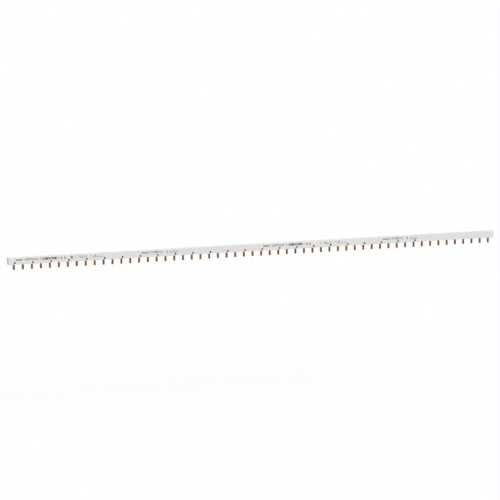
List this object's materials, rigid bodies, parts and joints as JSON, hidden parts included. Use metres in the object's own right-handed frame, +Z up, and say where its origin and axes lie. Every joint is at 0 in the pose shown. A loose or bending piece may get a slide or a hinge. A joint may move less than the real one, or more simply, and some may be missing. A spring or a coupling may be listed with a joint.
{
  "type": "two-pole pin busbar",
  "caption": "Straight insulated comb busbar for a row of modular breakers, with copper pins in one row under a light grey profile.",
  "frame": {"origin": "middle of the pin row, in the plane of the pins, at the underside of the profile", "axes": "+X along the bar, +Y towards the rear of the profile, +Z up from the pins into the profile; the printed front looks to -Y"},
  "size_m": [1, 0.0091, 0.0247],
  "materials": {
    "profile_plastic": "satin extruded",
    "cap_plastic": "satin moulded",
    "copper": "bright rolled copper",
    "print_ink": "matt ink, printed on the profile"
  },
  "bodies": {
    "root": {"insulating_profile": "profile_plastic", "front_comb": "copper", "rear_comb": "copper", "left_end_cap": "cap_plastic", "right_end_cap": "cap_plastic"}
  },
  "joints": []
}
